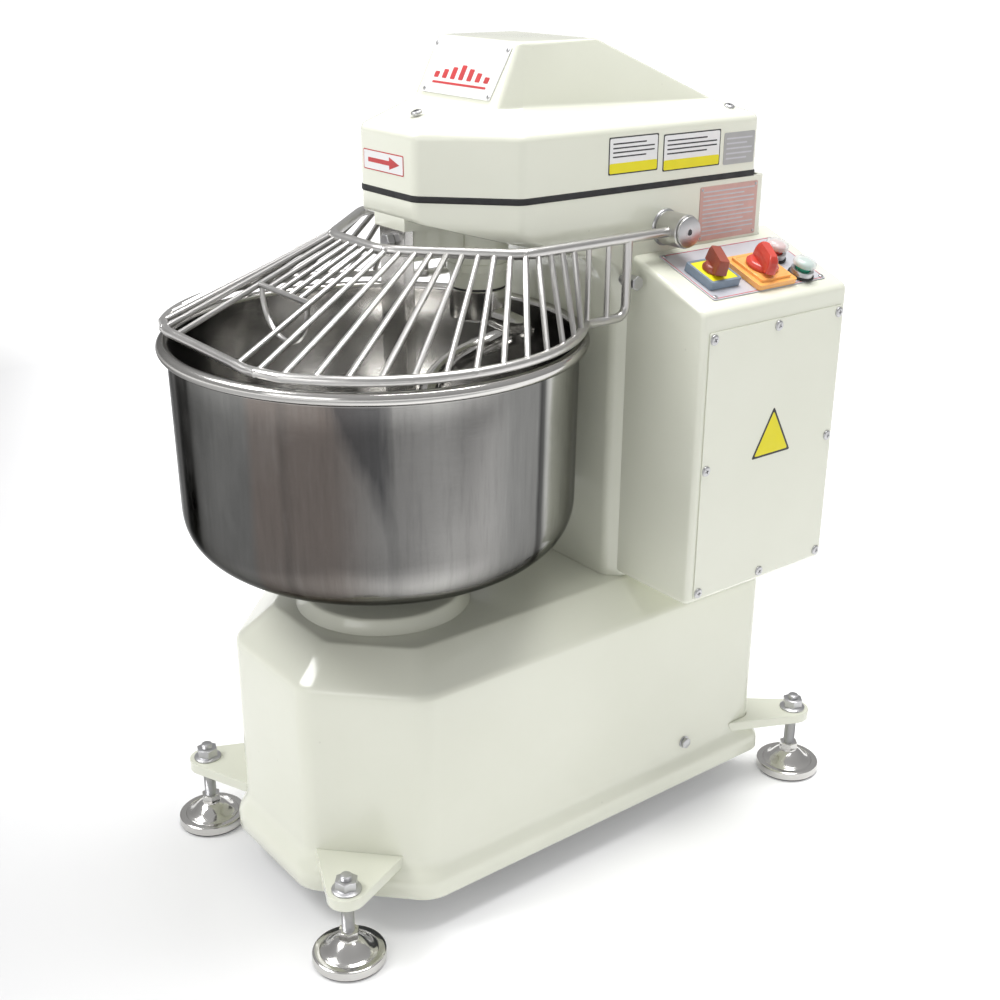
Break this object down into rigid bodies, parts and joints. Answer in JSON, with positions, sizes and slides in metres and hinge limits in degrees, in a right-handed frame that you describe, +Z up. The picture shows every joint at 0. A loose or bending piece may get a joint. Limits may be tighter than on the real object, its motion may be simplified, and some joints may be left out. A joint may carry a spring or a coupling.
{
  "type": "commercial stand mixer",
  "caption": "Floor-standing spiral dough mixer: turning bowl, spiral hook and breaker bar under a lifting wire guard, with side control box and levelling feet.",
  "frame": {"origin": "on the floor, under the middle of the box that bounds the machine", "axes": "+Z up; -Y to the bowl end, where the user stands; +X to the side with the electrical box and the controls"},
  "size_m": [0.5108, 0.8288, 0.9954],
  "materials": {
    "cream_enamel": "gloss enamel, cream",
    "polished_stainless": "polished stainless steel",
    "brushed_stainless": "satin stainless steel",
    "machined_steel": "zinc-plated or machined steel",
    "cast_iron": "grey cast iron, painted dark",
    "aluminium": "satin aluminium sheet",
    "black_rubber": "matte black rubber",
    "grey_plastic": "grey-blue switch plastic",
    "amber_plastic": "translucent amber plastic",
    "red_plastic": "red plastic",
    "brown_plastic": "brown-red plastic",
    "green_plastic": "green lamp lens",
    "clear_plastic": "clear silicone boot over a grey button",
    "black_plastic": "black moulded plastic",
    "sign_white": "white plate"
  },
  "bodies": {
    "frame": {"base_floor_plate": "cast_iron", "base_shell": "cream_enamel", "bowl_bearing": "machined_steel", "bowl_bearing_housing": "cream_enamel", "bowl_belt": "black_rubber", "bowl_contactor": "black_plastic", "bowl_motor": "cast_iron", "box_cover": "cream_enamel", "box_shell": "cream_enamel", "breaker_bar": "brushed_stainless", "breaker_bolt": "machined_steel", "breaker_bracket": "cream_enamel", "column_shell": "cream_enamel", "contactor_plate": "aluminium", "control_panel": "aluminium", "foot_bracket_front_left": "cream_enamel", "foot_bracket_front_right": "cream_enamel", "foot_bracket_rear_left": "cream_enamel", "foot_bracket_rear_right": "cream_enamel", "guard_pin_left": "machined_steel", "guard_pin_right": "machined_steel", "guard_stop_left": "machined_steel", "guard_stop_right": "machined_steel", "head_cover": "cream_enamel", "head_gasket": "black_rubber", "main_switch_base": "grey_plastic", "motor_mount_plate": "machined_steel", "power_lamp": "green_plastic", "rear_cover": "cream_enamel", "sign_plate": "sign_white", "speed_switch_base": "amber_plastic", "spiral_bearing": "machined_steel", "spiral_bearing_housing": "cream_enamel", "spiral_belt": "black_rubber", "spiral_contactor": "black_plastic", "spiral_motor": "cast_iron", "start_button_collar": "machined_steel", "stop_button_collar": "machined_steel"},
    "bowl": {"bowl": "polished_stainless", "bowl_carrier": "cast_iron", "bowl_pulley": "cast_iron"},
    "spiral": {"spiral_hook": "polished_stainless", "spiral_seal": "black_rubber", "spiral_shaft": "machined_steel", "spiral_pulley": "cast_iron"},
    "spiral_motor_rotor": {"spiral_motor_shaft": "machined_steel"},
    "bowl_motor_rotor": {"bowl_motor_shaft": "machined_steel"},
    "guard": {"guard_cage": "polished_stainless"},
    "main_switch_knob": {"main_switch_knob": "brown_plastic"},
    "speed_switch_knob": {"speed_switch_knob": "red_plastic"},
    "start_button": {"start_button_cap": "clear_plastic"},
    "stop_button": {"stop_button_cap": "red_plastic"},
    "foot_front_left": {"foot_front_left": "brushed_stainless", "foot_pad_front_left": "black_rubber"},
    "foot_front_right": {"foot_front_right": "brushed_stainless", "foot_pad_front_right": "black_rubber"},
    "foot_rear_left": {"foot_rear_left": "brushed_stainless", "foot_pad_rear_left": "black_rubber"},
    "foot_rear_right": {"foot_rear_right": "brushed_stainless", "foot_pad_rear_right": "black_rubber"}
  },
  "joints": [
    {"name": "bowl_spin", "type": "hinge", "parent": "frame", "child": "bowl", "pos_m": [-0.003, -0.17095, 0.5], "axis": [0, 0, 1], "continuous": true},
    {"name": "spiral_spin", "type": "hinge", "parent": "frame", "child": "spiral", "pos_m": [-0.003, -0.02565, 0.7], "axis": [0, 0, 1], "continuous": true},
    {"name": "spiral_motor_spin", "type": "hinge", "parent": "frame", "child": "spiral_motor_rotor", "pos_m": [-0.003, 0.20405, 0.8], "axis": [0, 0, 1], "continuous": true},
    {"name": "bowl_motor_spin", "type": "hinge", "parent": "frame", "child": "bowl_motor_rotor", "pos_m": [-0.003, 0.12905, 0.2], "axis": [0, 0, 1], "continuous": true},
    {"name": "guard_lift", "type": "hinge", "parent": "frame", "child": "guard", "pos_m": [-0.003, 0.14605, 0.788], "axis": [-1, 0, 0], "range_deg": [0, 70]},
    {"name": "main_switch_turn", "type": "hinge", "parent": "frame", "child": "main_switch_knob", "pos_m": [0.19636, 0.16105, 0.73694], "axis": [0.3425, 0, 0.9395], "range_deg": [-90, 0]},
    {"name": "speed_switch_turn", "type": "hinge", "parent": "frame", "child": "speed_switch_knob", "pos_m": [0.20434, 0.23255, 0.73403], "axis": [0.3425, 0, 0.9395], "range_deg": [-60, 60]},
    {"name": "start_button_press", "type": "slide", "parent": "frame", "child": "start_button", "axis": [-0.3425, 0, -0.9395], "range_m": [0, 0.004], "stiffness_N_per_m": 500, "springref_m": -0.002},
    {"name": "stop_button_press", "type": "slide", "parent": "frame", "child": "stop_button", "axis": [-0.3425, 0, -0.9395], "range_m": [0, 0.004], "stiffness_N_per_m": 500, "springref_m": -0.002},
    {"name": "foot_front_left_height", "type": "slide", "parent": "frame", "child": "foot_front_left", "axis": [0, 0, -1], "range_m": [-0.03, 0.012]},
    {"name": "foot_front_right_height", "type": "slide", "parent": "frame", "child": "foot_front_right", "axis": [0, 0, -1], "range_m": [-0.03, 0.012]},
    {"name": "foot_rear_left_height", "type": "slide", "parent": "frame", "child": "foot_rear_left", "axis": [0, 0, -1], "range_m": [-0.03, 0.012]},
    {"name": "foot_rear_right_height", "type": "slide", "parent": "frame", "child": "foot_rear_right", "axis": [0, 0, -1], "range_m": [-0.03, 0.012]}
  ],
  "couplings": [
    {"joint": "spiral_motor_spin", "follows": "spiral_spin", "ratio": 4},
    {"joint": "bowl_motor_spin", "follows": "bowl_spin", "ratio": 4}
  ]
}
